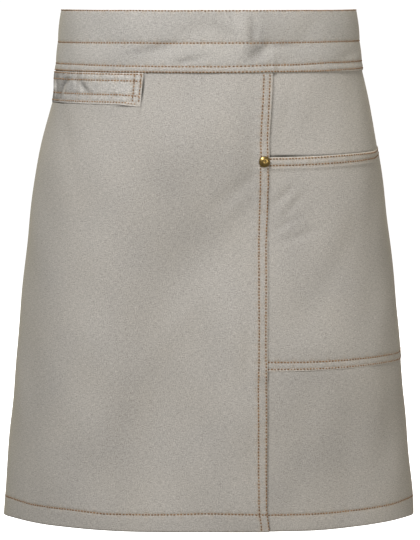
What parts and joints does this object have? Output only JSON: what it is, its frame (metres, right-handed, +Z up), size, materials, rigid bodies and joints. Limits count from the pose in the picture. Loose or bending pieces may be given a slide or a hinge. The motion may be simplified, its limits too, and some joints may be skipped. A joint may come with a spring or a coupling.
{
  "type": "bistro apron",
  "caption": "Short canvas waist apron in its worn wrap, with a stitched waistband, a lapped seam, a riveted patch pocket at one hip and a flat towel loop at the other.",
  "frame": {"origin": "middle of the waist opening, halfway up the waistband", "axes": "+Z up along the wearer, -Y out of the front of the wearer, +X to the viewer's right from the front, the side with the pocket"},
  "size_m": [0.4076, 0.2288, 0.5054],
  "materials": {
    "canvas": "pale warm grey cotton canvas, matt, with a fine uneven weave",
    "band_canvas": "pale warm grey cotton canvas, doubled and stitched in rows",
    "strap_canvas": "pale warm grey cotton canvas strap, stitched along its length",
    "brass": "polished brass, lightly worn"
  },
  "bodies": {
    "root": {"waistband": "band_canvas", "front_panel": "canvas", "side_panel": "canvas", "pocket": "canvas", "towel_loop": "strap_canvas", "rivet": "brass", "back_tie": "strap_canvas"}
  },
  "joints": []
}
